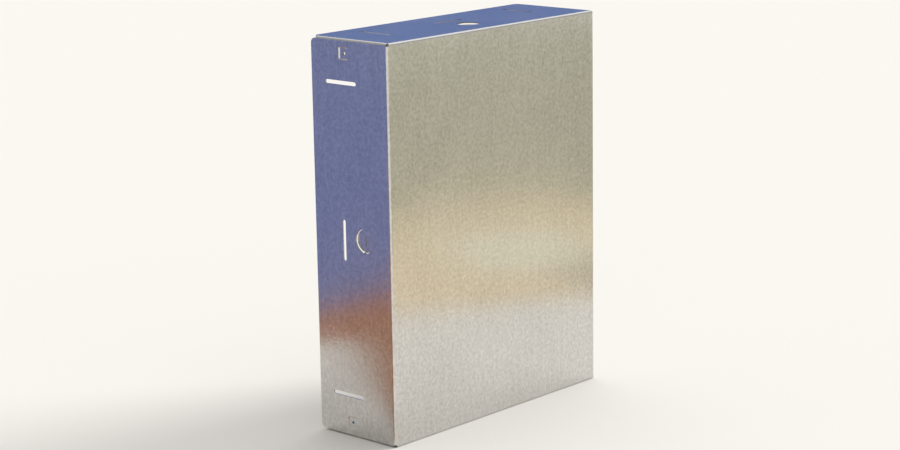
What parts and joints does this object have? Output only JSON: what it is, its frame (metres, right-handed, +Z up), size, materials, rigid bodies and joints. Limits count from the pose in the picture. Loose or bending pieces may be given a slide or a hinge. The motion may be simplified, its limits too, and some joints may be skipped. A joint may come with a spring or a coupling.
{
  "type": "flush mounting box",
  "caption": "Open-fronted folded steel box with a plain back, fixing slots and conduit knock-outs in its walls, set flush into a wall to hold a panel.",
  "frame": {"origin": "middle of the bottom face, on the surface the box stands on", "axes": "+Z up along the height, +X along the width, +Y towards the closed back, so the open front faces -Y"},
  "size_m": [0.25, 0.082, 0.32],
  "materials": {
    "zinc_steel": "zinc-coated sheet, satin, with a fine rolled grain"
  },
  "bodies": {
    "root": {"mounting_box": "zinc_steel"}
  },
  "joints": []
}
